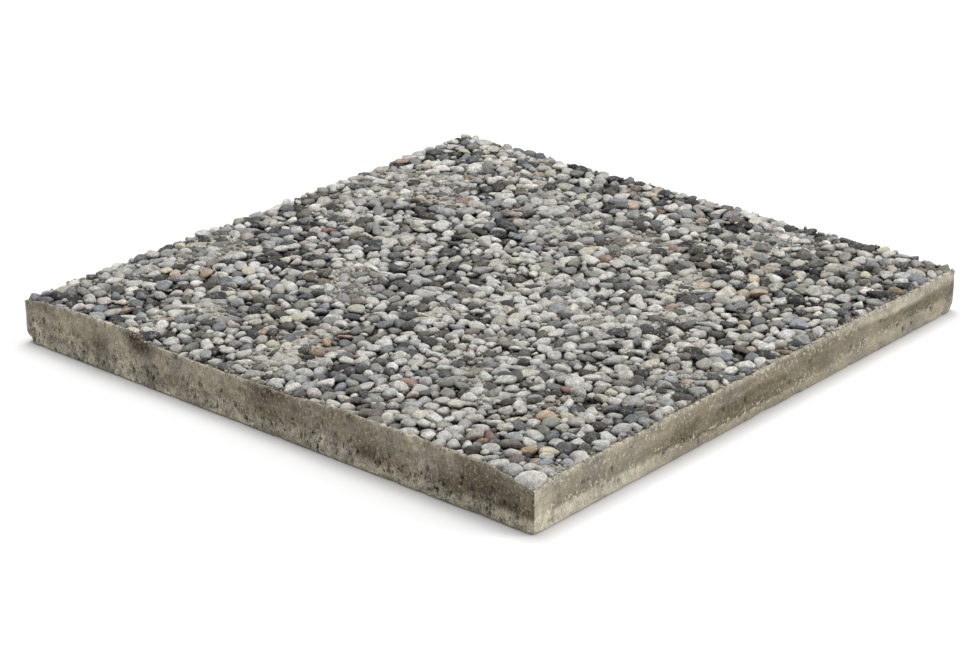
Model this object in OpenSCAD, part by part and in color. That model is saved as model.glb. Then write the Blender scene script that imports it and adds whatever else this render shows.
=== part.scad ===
// Concrete paving slab with a washed pebble face.
// One wet-cast piece: a square concrete body whose top face shows rounded
// river pebbles, set in the mortar with their crowns standing free.
// Origin: centre of the underside. +Z: up, towards the pebble face. Units: millimetres.

/* [Slab] */
// Length of the slab, along X
slab_length = 500; // [300:10:600]
// Width of the slab, along Y
slab_width = 500; // [300:10:600]
// Height of the concrete at the sides, up to the rim
rim_height = 34; // [24:1:60]
// Radius of the four upright corners
corner_radius = 2; // [0.5:0.5:8]
// Bevel worn along the edges of the underside
base_bevel = 3; // [0.5:0.5:6]
// Bevel along the outer edge of the rim
rim_bevel = 1; // [0.2:0.1:2]

/* [Pebble face] */
// Width of the plain mortar rim between the sides and the pebbles
rim_width = 4; // [3:0.5:12]
// Mean spacing of the pebbles
pebble_pitch = 20; // [18:0.5:40]
// Depth of the washed-out mortar between the pebbles, below the rim
mortar_depth = 1; // [0.4:0.1:3]
// Height of the highest pebble crown above the mortar round it
pebble_exposure = 7; // [4:0.25:9]
// Spread in height between the highest and the lowest crown
crown_spread = 2; // [0:0.25:2.5]
// How far a pebble wanders from an even pattern, as a share of the spacing
scatter = 0.28; // [0:0.02:0.3]
// Number that picks the pebble pattern
pattern = 5; // [1:1:99]

/* [Hidden] */

concrete_grey = [0.56, 0.54, 0.49];

// Pebble bed: a field of stones in staggered rows inside the rim
bed_length = slab_length - 2 * rim_width;
bed_width = slab_width - 2 * rim_width;
// The bed's own underside lies this far below the rim, inside the concrete
bed_sink = 8;
// The bed fills a pocket in the body and laps over the pocket's walls and floor
wall_lap = 0.15;
floor_lap = 2;
// Where the bed meets the rim it stands this much proud, as trowelled mortar does
bed_lip = 0.4;
row_pitch = pebble_pitch * sqrt(3) / 2;
// The outermost stones move out by this share of a step, close to the rim
edge_trim = 0.45;
columns = round(bed_length / pebble_pitch + 2 * edge_trim);
rows = round(bed_width / row_pitch + 2 * edge_trim);
column_step = bed_length / (columns - 2 * edge_trim);
row_step = bed_width / (rows - 2 * edge_trim);
// Odd and even rows are shifted this share of a step to either side
stagger = 0.25;

// Pebble form: the shoulder is a ring of four points round the crown
shoulder_reach = 0.74;
shoulder_drop = 0.38;
// The mortar in the joints lies higher or lower by this share of its depth
joint_spread = 0.5;

joint_floor = rim_height - mortar_depth;
crown_top = joint_floor + pebble_exposure;

// Random numbers, one list for each use
points_in_bed = (columns + 1) * (rows + 1);
wander_x = rands(-scatter, scatter, points_in_bed, pattern);
wander_y = rands(-scatter, scatter, points_in_bed, pattern + 100);
sinking = rands(0, 1, points_in_bed, pattern + 200);
turning = rands(0, 6, points_in_bed, pattern + 300);
joint_wave = rands(-joint_spread, joint_spread, 2 * columns * rows, pattern + 400);

// Numbering of the bed's points
function point_id(i, j) = j * (columns + 1) + i;
function stone_id(i, j) = (j - 1) * (columns - 1) + i - 1;
function joint_id(i, j, k) = 2 * (j * columns + i) + k;
function on_edge(i, j) = i == 0 || j == 0 || i == columns || j == rows;
function is_odd(j) = j % 2;

// Outermost stones wander only inwards
function inward(wander, n, last) = n == 1 ? abs(wander) : n == last - 1 ? -abs(wander) : wander;

// Place along the bed in steps, from its middle; the first and last point lie on the rim
function along(n, last, shift) =
    n == 0 ? edge_trim - last / 2
    : n == last ? last / 2 - edge_trim
    : n + shift - last / 2;

// Middle of the pebble in column i, row j; on the bed's edge it is a point of the rim
function stone_centre(i, j) =
    let (
        n = point_id(i, j),
        side = i == 0 || i == columns,
        end = j == 0 || j == rows,
        shift = is_odd(j) ? stagger : -stagger,
        u = along(i, columns, shift + (end ? 0 : inward(wander_x[n], i, columns))),
        v = along(j, rows, side ? 0 : inward(wander_y[n], j, rows))
    )
    [u * column_step, v * row_step];

// The three pebbles round a joint: k is 0 for the lower joint of a cell, 1 for the upper
function joint_corners(i, j, k) =
    is_odd(j)
    ? (k == 0 ? [[i, j], [i + 1, j], [i + 1, j + 1]] : [[i, j], [i + 1, j + 1], [i, j + 1]])
    : (k == 0 ? [[i, j], [i + 1, j], [i, j + 1]] : [[i + 1, j], [i + 1, j + 1], [i, j + 1]]);

function joint_point(i, j, k) =
    let (
        c = [for (p = joint_corners(i, j, k)) stone_centre(p[0], p[1])],
        middle = (c[0] + c[1] + c[2]) / 3
    )
    [middle[0], middle[1], joint_floor + mortar_depth * joint_wave[joint_id(i, j, k)]];

// Joints round a pebble, anticlockwise, as [column, row, which]; at the bed's edge only those inside it
function joints_round(i, j) =
    let (
        o = is_odd(j) ? 1 : 0,
        ring = [
            [i, j, 0], [i - 1 + o, j, 1], [i - 1, j, 0],
            [i - 1, j - 1, 1], [i - 1 + o, j - 1, 0], [i, j - 1, 1]
        ],
        first = i == 0 ? 3 : 0
    )
    [for (n = [0:5])
        let (q = ring[(n + first) % 6])
        if (q[0] >= 0 && q[0] < columns && q[1] >= 0 && q[1] < rows) q];

function crown_height(i, j) = crown_top - crown_spread * sinking[point_id(i, j)];

// Shoulder of a pebble: four points between its middle and the joints round it, turned at random
function shoulder(i, j) =
    let (
        c = stone_centre(i, j),
        first = floor(turning[point_id(i, j)]),
        ring = joints_round(i, j),
        v = [for (n = [0:5])
            let (q = ring[(n + first) % 6], p = joint_point(q[0], q[1], q[2]))
            [p[0], p[1]]],
        ends = [(v[0] + v[1]) / 2, v[2], (v[3] + v[4]) / 2, v[5]],
        z = crown_height(i, j),
        low = z - shoulder_drop * (z - joint_floor)
    )
    [for (e = ends) let (p = c + shoulder_reach * (e - c)) [p[0], p[1], low]];

// Bed's points, in this order: rim and crowns, joints, shoulders, underside
joint_start = points_in_bed;
shoulder_start = joint_start + 2 * columns * rows;
base_start = shoulder_start + 4 * (columns - 1) * (rows - 1);

edge_cells = concat(
    [for (i = [0:columns - 1]) [i, 0]],
    [for (j = [0:rows - 1]) [columns, j]],
    [for (i = [columns:-1:1]) [i, rows]],
    [for (j = [rows:-1:1]) [0, j]]
);
edge_count = len(edge_cells);

function bed_points() = concat(
    [for (j = [0:rows], i = [0:columns])
        let (c = stone_centre(i, j))
        [c[0], c[1], on_edge(i, j) ? rim_height + bed_lip : crown_height(i, j)]],
    [for (j = [0:rows - 1], i = [0:columns - 1], k = [0, 1]) joint_point(i, j, k)],
    [for (j = [1:rows - 1], i = [1:columns - 1], p = shoulder(i, j)) p],
    [for (e = edge_cells)
        let (c = stone_centre(e[0], e[1]))
        [c[0], c[1], rim_height - bed_sink]],
    [[0, 0, rim_height - bed_sink]]
);

function joint_points_round(i, j) =
    [for (q = joints_round(i, j)) joint_start + joint_id(q[0], q[1], q[2])];

// Faces of one pebble: a crown of four triangles, and a skirt from its shoulder to the joints
function pebble_faces(i, j) =
    let (
        crown = point_id(i, j),
        first = floor(turning[crown]),
        ring = joint_points_round(i, j),
        v = [for (n = [0:5]) ring[(n + first) % 6]],
        s = [for (n = [0:3]) shoulder_start + 4 * stone_id(i, j) + n]
    )
    [
        [crown, s[0], s[1]], [crown, s[1], s[2]], [crown, s[2], s[3]], [crown, s[3], s[0]],
        [s[0], v[0], v[1]], [s[0], v[1], s[1]], [s[1], v[1], v[2]],
        [s[1], v[2], v[3]], [s[1], v[3], s[2]], [s[2], v[3], v[4]],
        [s[2], v[4], s[3]], [s[3], v[4], v[5]],
        [s[3], v[5], s[0]], [s[0], v[5], v[0]]
    ];

// Mortar between the rim and the outermost pebbles
function margin_faces() = [
    for (n = [0:edge_count - 1])
        let (
            a = edge_cells[n],
            b = edge_cells[(n + 1) % edge_count],
            fan = joint_points_round(a[0], a[1]),
            here = point_id(a[0], a[1]),
            next = point_id(b[0], b[1])
        )
        each concat(
            [for (m = [1:1:len(fan) - 1]) [here, fan[m - 1], fan[m]]],
            [[here, next, fan[0]]]
        )
];

function wall_faces() = [
    for (n = [0:edge_count - 1])
        let (
            m = (n + 1) % edge_count,
            a = point_id(edge_cells[n][0], edge_cells[n][1]),
            b = point_id(edge_cells[m][0], edge_cells[m][1])
        )
        each [
            [b, a, base_start + n, base_start + m],
            [base_start + m, base_start + n, base_start + edge_count]
        ]
];

// OpenSCAD wants each face clockwise as seen from outside
function flipped(faces) = [for (f = faces) [for (n = [len(f) - 1:-1:0]) f[n]]];

module pebble_bed() {
    polyhedron(
        points = bed_points(),
        faces = flipped(concat(
            [for (j = [1:rows - 1], i = [1:columns - 1]) each pebble_faces(i, j)],
            margin_faces(),
            wall_faces()
        )),
        convexity = 6
    );
}

// Upright section of the body across one direction, with its worn edges
module section(span) {
    half = span / 2;
    polygon([
        [-half + base_bevel, 0], [half - base_bevel, 0],
        [half, base_bevel], [half, rim_height - rim_bevel],
        [half - rim_bevel, rim_height], [-half + rim_bevel, rim_height],
        [-half, rim_height - rim_bevel], [-half, base_bevel]
    ]);
}

// Plan of the body, with rounded corners
module plan() {
    square([slab_length - 2 * corner_radius, slab_width], center = true);
    square([slab_length, slab_width - 2 * corner_radius], center = true);
    for (x = [-1, 1], y = [-1, 1])
        translate([x * (slab_length / 2 - corner_radius), y * (slab_width / 2 - corner_radius)])
            circle(r = corner_radius, $fn = 48);
}

// Room in the body for the pebble bed
module bed_pocket() {
    translate([0, 0, rim_height - bed_sink + floor_lap])
        linear_extrude(bed_sink)
            square([bed_length - 2 * wall_lap, bed_width - 2 * wall_lap], center = true);
}

module concrete_body() {
    difference() {
        intersection() {
            linear_extrude(rim_height) plan();
            rotate([90, 0, 0]) linear_extrude(slab_width, center = true) section(slab_length);
            rotate([90, 0, 90]) linear_extrude(slab_length, center = true) section(slab_width);
        }
        bed_pocket();
    }
}

module paving_slab() {
    color(concrete_grey) union() {
        concrete_body();
        pebble_bed();
    }
}

paving_slab();
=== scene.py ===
"""Looks of a concrete paving slab with a washed pebble face.

The slab is one cast piece. Here it gets its worn sides, the mortar bed of its top face, the washed pebbles
and the grit between them, and a plain studio. Fields are in millimetres, meshes in metres.
"""

import logging
import math
from dataclasses import dataclass, field
from enum import Enum
from typing import Any, Mapping, Optional, Sequence, Union

import bpy
import numpy as np
from mathutils import Matrix, Vector

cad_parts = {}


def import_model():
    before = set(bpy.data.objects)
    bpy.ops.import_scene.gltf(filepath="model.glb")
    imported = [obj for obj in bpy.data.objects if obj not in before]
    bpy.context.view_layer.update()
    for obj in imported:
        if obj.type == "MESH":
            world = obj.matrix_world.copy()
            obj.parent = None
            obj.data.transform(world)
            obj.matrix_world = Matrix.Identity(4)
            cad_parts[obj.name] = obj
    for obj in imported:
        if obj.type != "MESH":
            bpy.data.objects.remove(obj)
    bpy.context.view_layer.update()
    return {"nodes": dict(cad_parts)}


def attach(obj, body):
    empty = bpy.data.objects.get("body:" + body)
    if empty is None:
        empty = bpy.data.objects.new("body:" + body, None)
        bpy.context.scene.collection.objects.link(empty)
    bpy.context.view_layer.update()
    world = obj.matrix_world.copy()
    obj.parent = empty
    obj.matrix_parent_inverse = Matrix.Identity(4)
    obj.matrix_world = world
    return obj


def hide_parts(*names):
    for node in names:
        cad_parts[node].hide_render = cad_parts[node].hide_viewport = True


Array = np.ndarray
Colour = tuple[float, float, float]

MM = 0.001
HALF_SIDE = 250.0
BODY = "root"
NODE = "paving_slab"
LOG = logging.getLogger("paving_slab")


def linear(red: int, green: int, blue: int) -> Colour:
    """Turns a screen colour of 0 to 255 into the linear one that shaders take.

    Args:
        red: red of the screen colour.
        green: green of the screen colour.
        blue: blue of the screen colour.

    Returns:
        The linear colour, each channel from 0 to 1.
    """
    def channel(value: int) -> float:
        """Takes the screen curve off one channel."""
        share = value / 255
        return share / 12.92 if share <= 0.04045 else ((share + 0.055) / 1.055) ** 2.4

    return channel(red), channel(green), channel(blue)


def eased(value: Array, low: float, high: float) -> Array:
    """Smooth step from 0 at low to 1 at high, falling where low is above high.

    Args:
        value: the numbers to ease.
        low: where the step starts.
        high: where it ends.

    Returns:
        The eased numbers, from 0 to 1.
    """
    share = np.clip((value - low) / (high - low), 0.0, 1.0)
    return share * share * (3 - 2 * share)


def from_edge(x: Array, y: Array) -> Array:
    """How far places lie in from the nearest side of the slab, in millimetres."""
    return HALF_SIDE - np.maximum(np.abs(x), np.abs(y))


class SmoothNoise:
    """Seeded smooth noise for whole arrays of points."""

    SIZE = 32
    LAYER_SHIFT = 7.3

    def __init__(self, seed: int) -> None:
        """Fills the lattice of random numbers.

        Args:
            seed: number that picks the pattern.
        """
        self.lattice = np.random.default_rng(seed).uniform(-1.0, 1.0, (self.SIZE,) * 3)

    def at(self, points: Array, grain: float) -> Array:
        """One layer of noise.

        Args:
            points: rows of x, y, z.
            grain: size of a lump, in the units of the points.

        Returns:
            A number from -1 to 1 for each point.
        """
        scaled = points / grain
        cell = np.floor(scaled).astype(int)
        part = scaled - cell
        part = part * part * (3 - 2 * part)
        total = np.zeros(len(points))
        for corner in np.ndindex(2, 2, 2):
            index = (cell + np.array(corner)) % self.SIZE
            weight = np.where(np.array(corner) == 1, part, 1 - part).prod(axis=1)
            total += weight * self.lattice[index[:, 0], index[:, 1], index[:, 2]]
        return total

    def layered(self, points: Array, grain: float, layers: int = 3) -> Array:
        """Several layers of noise, each half the size and strength of the one before.

        Args:
            points: rows of x, y, z.
            grain: size of the largest lumps.
            layers: number of layers.

        Returns:
            A number from about -1 to 1 for each point.
        """
        total = np.zeros(len(points))
        for layer in range(layers):
            total += self.at(points + self.LAYER_SHIFT * grain * layer, grain / 2 ** layer) / 2 ** layer
        return total / (2 - 2.0 ** (1 - layers))


class Bench:
    """Tools of edit mode, used on one piece at a time."""

    @staticmethod
    def clear() -> None:
        """Leaves edit mode and deselects everything."""
        if bpy.context.object is not None and bpy.context.object.mode != "OBJECT":
            bpy.ops.object.mode_set(mode="OBJECT")
        bpy.ops.object.select_all(action="DESELECT")

    @classmethod
    def take(cls, piece: bpy.types.Object) -> None:
        """Selects one piece alone and makes it the active one."""
        cls.clear()
        piece.select_set(True)
        bpy.context.view_layer.objects.active = piece

    @staticmethod
    def start(name: str) -> bpy.types.Object:
        """Names the primitive that was just added.

        Args:
            name: name of the piece and of its mesh.

        Returns:
            The piece.
        """
        piece = bpy.context.active_object
        piece.name = name
        piece.data.name = name
        return piece

    @classmethod
    def edit(cls, piece: bpy.types.Object, select_mode: str) -> None:
        """Opens a piece in edit mode with nothing selected."""
        cls.take(piece)
        bpy.ops.object.mode_set(mode="EDIT")
        bpy.ops.mesh.select_mode(type=select_mode)
        bpy.ops.mesh.select_all(action="DESELECT")

    @staticmethod
    def leave() -> None:
        """Goes back to object mode."""
        bpy.ops.object.mode_set(mode="OBJECT")

    @staticmethod
    def select_open_edges() -> None:
        """Selects the edges that have a face on one side only."""
        bpy.ops.mesh.select_non_manifold(extend=False, use_wire=False, use_boundary=True,
                                         use_multi_face=False, use_non_contiguous=False, use_verts=False)

    @classmethod
    def close_rings(cls, piece: bpy.types.Object) -> None:
        """Fills each open ring of edges with a face, and turns all faces outwards."""
        cls.edit(piece, "EDGE")
        cls.select_open_edges()
        bpy.ops.mesh.fill_holes(sides=0)
        bpy.ops.mesh.select_all(action="SELECT")
        bpy.ops.mesh.normals_make_consistent(inside=False)
        cls.leave()

    @staticmethod
    def points(piece: bpy.types.Object) -> Array:
        """Vertices of a piece, as rows of x, y, z in metres."""
        flat = np.empty(len(piece.data.vertices) * 3, np.float32)
        piece.data.vertices.foreach_get("co", flat)
        return flat.reshape(-1, 3).astype(float)

    @staticmethod
    def move_points(piece: bpy.types.Object, points: Array) -> None:
        """Puts the vertices of a piece at new places, in metres."""
        piece.data.vertices.foreach_set("co", points.astype(np.float32).ravel())
        piece.data.update()

    @classmethod
    def melt(cls, mould: bpy.types.Object) -> tuple[Array, Array]:
        """Takes the shape of a mould and removes the mould.

        Args:
            mould: the piece that was modelled.

        Returns:
            Its vertices, and its faces as rows of vertex numbers.
        """
        points = cls.points(mould)
        faces = np.array([list(face.vertices) for face in mould.data.polygons])
        mesh = mould.data
        bpy.data.objects.remove(mould)
        bpy.data.meshes.remove(mesh)
        return points, faces

    @staticmethod
    def paint(piece: bpy.types.Object, name: str, values: Array) -> None:
        """Stores a number or a colour at each vertex of a piece.

        Args:
            piece: the piece.
            name: name that its material reads.
            values: one number, or one row of four, for each vertex.
        """
        colour = values.ndim == 2
        kind = "FLOAT_COLOR" if colour else "FLOAT"
        layer = piece.data.attributes.new(name, kind, "POINT")
        layer.data.foreach_set("color" if colour else "value", values.astype(np.float32).ravel())

    @classmethod
    def shade_smooth(cls, piece: bpy.types.Object) -> None:
        """Shades a piece smooth all over."""
        cls.take(piece)
        bpy.ops.object.shade_smooth()


def joined(name: str, points: Array, faces: Array) -> bpy.types.Object:
    """Joins many small closed meshes, given as arrays, into one object.

    Args:
        name: name of the object.
        points: rows of x, y, z in metres.
        faces: rows of vertex numbers, all with as many corners.

    Returns:
        The object, at the origin.
    """
    mesh = bpy.data.meshes.new(name)
    mesh.vertices.add(len(points))
    mesh.vertices.foreach_set("co", points.astype(np.float32).ravel())
    mesh.loops.add(faces.size)
    mesh.loops.foreach_set("vertex_index", faces.astype(np.int32).ravel())
    mesh.polygons.add(len(faces))
    mesh.polygons.foreach_set("loop_start", np.arange(0, faces.size, faces.shape[1], dtype=np.int32))
    mesh.update(calc_edges=True)
    piece = bpy.data.objects.new(name, mesh)
    bpy.context.scene.collection.objects.link(piece)
    return piece


Operand = Union["Wire", float, Sequence[float]]


class Wire:
    """A shader socket that takes part in Python expressions."""

    def __init__(self, sheet: "ShaderSheet", socket: bpy.types.NodeSocket) -> None:
        """Wraps an output socket.

        Args:
            sheet: the sheet that holds the socket's node.
            socket: the output socket.
        """
        self.sheet = sheet
        self.socket = socket

    def _join(self, operation: str, first: Operand, second: Operand) -> "Wire":
        """Adds the node that joins two operands.

        Args:
            operation: name of the operation, the same for numbers, vectors and colours.
            first: operand on the left.
            second: operand on the right.

        Returns:
            The node's output.
        """
        kinds = {part.socket.type for part in (first, second) if isinstance(part, Wire)}
        if "RGBA" in kinds:
            return self.sheet.mix(first, second, 1.0, operation)
        kind = "ShaderNodeVectorMath" if "VECTOR" in kinds else "ShaderNodeMath"
        return self.sheet.add(kind, {"operation": operation}, {0: first, 1: second})

    def __add__(self, other: Operand) -> "Wire":
        """Sum."""
        return self._join("ADD", self, other)

    def __radd__(self, other: Operand) -> "Wire":
        """Sum, with the wire on the right."""
        return self._join("ADD", other, self)

    def __sub__(self, other: Operand) -> "Wire":
        """Difference."""
        return self._join("SUBTRACT", self, other)

    def __rsub__(self, other: Operand) -> "Wire":
        """Difference, with the wire on the right."""
        return self._join("SUBTRACT", other, self)

    def __mul__(self, other: Operand) -> "Wire":
        """Product."""
        return self._join("MULTIPLY", self, other)

    def __rmul__(self, other: Operand) -> "Wire":
        """Product, with the wire on the right."""
        return self._join("MULTIPLY", other, self)

    def __abs__(self) -> "Wire":
        """Size without the sign."""
        return self.sheet.add("ShaderNodeMath", {"operation": "ABSOLUTE"}, {0: self})

    def eased(self, low: float, high: float, start: float = 0.0, end: float = 1.0) -> "Wire":
        """Smooth step between two values.

        Args:
            low: where the step starts.
            high: where it ends.
            start: result at low.
            end: result at high.

        Returns:
            The eased value.
        """
        return self.sheet.add("ShaderNodeMapRange", {"interpolation_type": "SMOOTHSTEP"},
                              {0: self, 1: low, 2: high, 3: start, 4: end})

    def kept(self) -> "Wire":
        """The value held between 0 and 1."""
        return self.sheet.add("ShaderNodeClamp", {}, {0: self})


class ShaderSheet:
    """One material's nodes, written as expressions."""

    MIX_COLOUR = {"factor": 0, "first": 6, "second": 7, "result": 2}

    def __init__(self, name: str) -> None:
        """Makes an empty material.

        Args:
            name: name of the material.
        """
        self.material = bpy.data.materials.new(name)
        self.material.use_nodes = True
        self.nodes = self.material.node_tree.nodes
        self.links = self.material.node_tree.links
        self.nodes.clear()

    def add(self, kind: str, settings: Mapping[str, Any], inputs: Mapping[Union[int, str], Operand],
            output: Union[int, str] = 0) -> Wire:
        """Adds any node.

        Args:
            kind: the node's type.
            settings: its own settings, set first.
            inputs: values or wires for its sockets, by number or name.
            output: the socket that is handed back.

        Returns:
            That output.
        """
        node = self.nodes.new(kind)
        for key, value in settings.items():
            setattr(node, key, value)
        for key, value in inputs.items():
            self._feed(node.inputs[key], value)
        return Wire(self, node.outputs[output])

    def _feed(self, socket: bpy.types.NodeSocket, value: Operand) -> None:
        """Links a wire to a socket, or sets a plain value on it."""
        if isinstance(value, Wire):
            self.links.new(value.socket, socket)
        elif socket.type == "RGBA":
            level = (value,) * 3 if isinstance(value, (int, float)) else tuple(value)
            socket.default_value = (*level[:3], 1.0)
        elif socket.type == "VECTOR" and isinstance(value, (int, float)):
            socket.default_value = (value,) * 3
        else:
            socket.default_value = value

    def mix(self, first: Operand, second: Operand, factor: Operand, blend: str = "MIX") -> Wire:
        """Mixes two colours.

        Args:
            first: colour at factor 0.
            second: colour at factor 1.
            factor: share of the second colour.
            blend: how the second colour works on the first.

        Returns:
            The mixed colour.
        """
        spots = self.MIX_COLOUR
        return self.add("ShaderNodeMix", {"data_type": "RGBA", "blend_type": blend},
                        {spots["factor"]: factor, spots["first"]: first, spots["second"]: second},
                        spots["result"])

    def place(self) -> Wire:
        """Place on the object, in millimetres."""
        return self.add("ShaderNodeTexCoord", {}, {}, "Object") * (1 / MM)

    def height(self, place: Wire) -> Wire:
        """Height of a place."""
        return self.add("ShaderNodeSeparateXYZ", {}, {0: place}, "Z")

    def painted(self, name: str, output: str = "Fac") -> Wire:
        """A value stored at the vertices.

        Args:
            name: name of the stored layer.
            output: Fac for a number, Color for a colour, Alpha for a colour's fourth number.

        Returns:
            The stored value.
        """
        return self.add("ShaderNodeAttribute", {"attribute_name": name}, {}, output)

    def split(self, colour: Wire) -> tuple[Wire, Wire, Wire]:
        """Red, green and blue of a colour, as three numbers."""
        red = self.add("ShaderNodeSeparateColor", {}, {0: colour}, 0)
        outputs = red.socket.node.outputs
        return red, Wire(self, outputs[1]), Wire(self, outputs[2])

    def noise(self, place: Wire, grain: float, detail: float = 2.0, rough: float = 0.5) -> Wire:
        """Cloudy noise.

        Args:
            place: where it is read, in millimetres.
            grain: size of a lump, in millimetres.
            detail: layers of finer noise.
            rough: strength of the finer layers.

        Returns:
            A number round 0.5.
        """
        return self.add("ShaderNodeTexNoise", {},
                        {"Vector": place, "Scale": 1 / grain, "Detail": detail, "Roughness": rough}, "Fac")

    def cells(self, place: Wire, spacing: float) -> tuple[Wire, Wire]:
        """Scattered points.

        Args:
            place: where they are read, in millimetres.
            spacing: mean distance between points, in millimetres.

        Returns:
            The distance to the nearest point, in spacings, and that point's random number.
        """
        near = self.add("ShaderNodeTexVoronoi", {}, {"Vector": place, "Scale": 1 / spacing}, "Distance")
        colour = Wire(self, near.socket.node.outputs["Color"])
        return near, self.split(colour)[0]

    def bump(self, height: Wire, depth: float, strength: float = 1.0) -> Wire:
        """Small relief.

        Args:
            height: relief, from 0 to 1.
            depth: depth that 1 stands for, in millimetres.
            strength: share of the relief that shows.

        Returns:
            The bent normal.
        """
        return self.add("ShaderNodeBump", {},
                        {"Strength": strength, "Distance": depth * MM, "Height": height}, "Normal")

    def surface(self, colour: Operand, roughness: Operand, normal: Optional[Wire] = None,
                shine: float = 0.5) -> bpy.types.Material:
        """Finishes the material with its surface.

        Args:
            colour: base colour.
            roughness: roughness.
            normal: bent normal, if there is one.
            shine: strength of the gloss at the surface.

        Returns:
            The material.
        """
        inputs: dict[str, Operand] = {"Base Color": colour, "Roughness": roughness,
                                      "Specular IOR Level": shine}
        if normal is not None:
            inputs["Normal"] = normal
        skin = self.add("ShaderNodeBsdfPrincipled", {}, inputs, "BSDF")
        self.add_output(skin)
        return self.material

    def add_output(self, skin: Wire) -> None:
        """Links the surface to the material's output."""
        output = self.nodes.new("ShaderNodeOutputMaterial")
        self.links.new(skin.socket, output.inputs["Surface"])


@dataclass(frozen=True)
class CastConcrete:
    """Finish of the slab's sides and underside: pitted, streaked and stained concrete."""

    grey: Colour = linear(158, 152, 139)
    beige: Colour = linear(166, 156, 135)
    dark: Colour = linear(107, 98, 76)
    brown: Colour = linear(66, 50, 39)
    pale: Colour = linear(211, 203, 184)
    speck: Colour = linear(217, 210, 191)
    # Near-black painted shade for the pits, pinholes and hollows
    pit: Colour = linear(36, 31, 26)

    def material(self) -> bpy.types.Material:
        """Builds the finish.

        Returns:
            The material.
        """
        sheet = ShaderSheet("cast_concrete")
        place = sheet.place()
        dark, brown, pale = sheet.split(sheet.painted("weather", "Color"))
        specks = sheet.painted("weather", "Alpha")
        pitting = sheet.painted("pitting")
        hollow = sheet.painted("hollow")

        cloud = sheet.noise(place, 24.0, 5.0, 0.62).eased(0.36, 0.64)
        patch = sheet.noise(place, 5.5, 4.0, 0.65).eased(0.3, 0.7)
        streak = sheet.noise(place * (1.0, 1.0, 0.22), 1.3, 3.0, 0.6).eased(0.3, 0.7)
        smear = sheet.noise(place * (1.0, 1.0, 4.0), 22.0, 4.0, 0.6).eased(0.36, 0.64)
        sand = sheet.noise(place, 1.3, 2.0, 0.7).eased(0.28, 0.72)
        flock = sheet.noise(place + 70.0, 15.0, 3.0, 0.6)

        colour = sheet.mix(self.grey, self.beige, cloud)
        colour = sheet.mix(colour, self.pale, (pale * (0.6 + 0.6 * patch)).kept())
        colour = sheet.mix(colour, self.dark, (dark * (0.35 + 0.55 * patch + 0.45 * smear)).kept())
        colour = sheet.mix(colour, self.brown, (brown * (0.5 + 0.8 * patch)).kept())

        fleck = sheet.noise(place + 20.0, 2.8, 4.0, 0.62).eased(0.52, 0.61)
        fleck = fleck * flock.eased(0.37, 0.52) * specks
        colour = sheet.mix(colour, self.speck, fleck.kept())

        # Painted shade: pits, pinholes and the worn-in hollows are darkened to near black, standing in for
        # the shade inside them
        hole = sheet.noise(place * (1.0, 1.0, 0.5) + 13.0, 3.0, 1.5, 0.5).eased(0.375, 0.34)
        pit = hole * flock.eased(0.4, 0.52) * pitting
        pin = sheet.noise(place * (1.0, 1.0, 0.5) + 40.0, 1.0, 1.0, 0.5).eased(0.33, 0.26) * pitting
        colour = sheet.mix(colour, self.pit, (0.75 * pit + 0.5 * pin + 0.85 * hollow).kept())

        rough = 0.15 + 0.85 * pitting
        tone = 1 + (0.12 + 0.75 * rough) * (1 - 0.4 * pale) * (patch - 0.5) + 0.22 * rough * (streak - 0.5)
        tone = tone + (0.25 + 0.5 * rough) * (sand - 0.5) + 0.2 * (cloud - 0.5)
        relief = rough * (0.15 * streak + 0.4 * patch) + 0.3 * sand - 0.9 * pit - 0.4 * pin + 0.15 * fleck
        return sheet.surface(colour * tone, 0.84 + 0.12 * sand, sheet.bump(relief, 1.5, 0.9), 0.3)


@dataclass(frozen=True)
class SandyMortar:
    """Finish of the mortar bed: sand and cement with single dark grains, and painted shade in the deep
    joints.
    """

    cement: Colour = linear(156, 153, 146)
    sand: Colour = linear(184, 178, 166)
    grain: Colour = linear(84, 80, 74)
    # Near-black painted shade for the low mortar between the stones
    joint_shade: Colour = linear(34, 31, 28)

    def material(self) -> bpy.types.Material:
        """Builds the finish.

        Returns:
            The material.
        """
        sheet = ShaderSheet("sandy_mortar")
        place = sheet.place()
        cloud = sheet.noise(place, 14.0, 3.0)
        fine = sheet.noise(place, 0.6, 2.0)
        near, number = sheet.cells(place, 1.7)
        colour = sheet.mix(self.cement, self.sand, (cloud.eased(0.35, 0.65) * 0.5 + 0.7 * number).kept())
        colour = sheet.mix(colour, self.grain, number.eased(0.72, 0.84) * near.eased(0.65, 0.35))
        lump = sheet.noise(place + 30.0, 4.5, 3.0, 0.65).eased(0.3, 0.7)
        colour = colour * (0.4 + 0.7 * fine + 0.5 * lump)
        # Painted shade: where the mortar lies low between the stones it darkens to near black, except near
        # the slab's sides
        deep = (sheet.height(place) + 2.0 * (cloud - 0.5)).eased(33.6, 31.9, 0.0, 0.85)
        colour = sheet.mix(colour, self.joint_shade, deep * sheet.painted("inside"))
        relief = (1 - near) * 0.5 + 0.3 * fine + 0.8 * lump
        return sheet.surface(colour, 0.92, sheet.bump(relief, 1.2, 1.0), 0.25)


class Rock(Enum):
    """Kinds of stone in the gravel."""

    LIMESTONE = "limestone"
    SANDSTONE = "sandstone"
    SLATE = "slate"
    BASALT = "basalt"
    QUARTZITE = "quartzite"
    IRONSTONE = "ironstone"
    GREENSTONE = "greenstone"
    GRANITE = "granite"


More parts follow.
